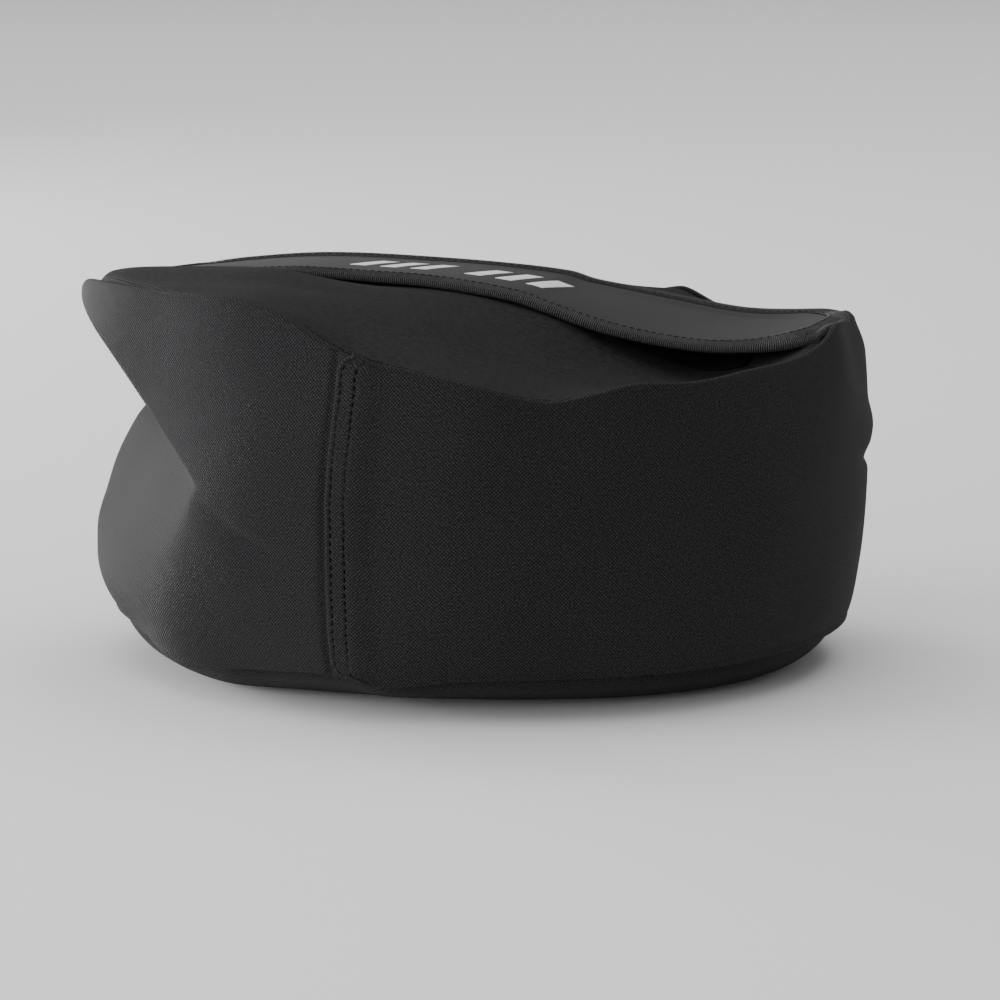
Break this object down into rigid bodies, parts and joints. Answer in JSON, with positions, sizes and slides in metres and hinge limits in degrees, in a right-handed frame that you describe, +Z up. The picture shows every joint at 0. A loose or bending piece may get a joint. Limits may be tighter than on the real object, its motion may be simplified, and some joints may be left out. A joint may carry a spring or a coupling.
{
  "type": "round ballast sandbag",
  "caption": "Round cloth ballast bag filled with sand, with a bound hook-and-loop flap hinged over the filling slit on its top.",
  "frame": {"origin": "centre of the bag's box in plan, on the surface that it stands on", "axes": "+Z up; +X along the flap and the filling slit, to the right as seen from the front; -Y is the front, where one lapped wall seam is"},
  "size_m": [0.4015, 0.4062, 0.2045],
  "materials": {
    "bag_cloth": "coated plain-weave oxford cloth, charcoal black, soft low sheen",
    "flap_cloth": "coated plain-weave oxford cloth, charcoal black, soft low sheen",
    "ribbon": "ribbed grosgrain ribbon, black",
    "hook_and_loop": "matt fuzzy hook-and-loop tape, black",
    "sack_film": "translucent woven plastic sack, dull",
    "sand": "dry sand, grainy"
  },
  "bodies": {
    "root": {"base_panel": "bag_cloth", "side_wall_right": "bag_cloth", "side_wall_left": "bag_cloth", "top_panel_front": "bag_cloth", "top_panel_rear": "bag_cloth", "base_seam_tape": "ribbon", "top_seam_tape": "ribbon", "slit_binding_front": "ribbon", "slit_binding_rear": "ribbon", "loop_strip": "hook_and_loop", "inner_sack": "sack_film", "sand_fill": "sand"},
    "flap": {"flap_panel": "flap_cloth", "flap_lining": "flap_cloth", "flap_binding": "ribbon", "hook_strip": "hook_and_loop"}
  },
  "joints": [
    {"name": "flap_hinge", "type": "hinge", "parent": "root", "child": "flap", "pos_m": [0, 0.0614, 0.1932], "axis": [-0.9968, 0, 0.0797], "range_deg": [0, 160]}
  ]
}
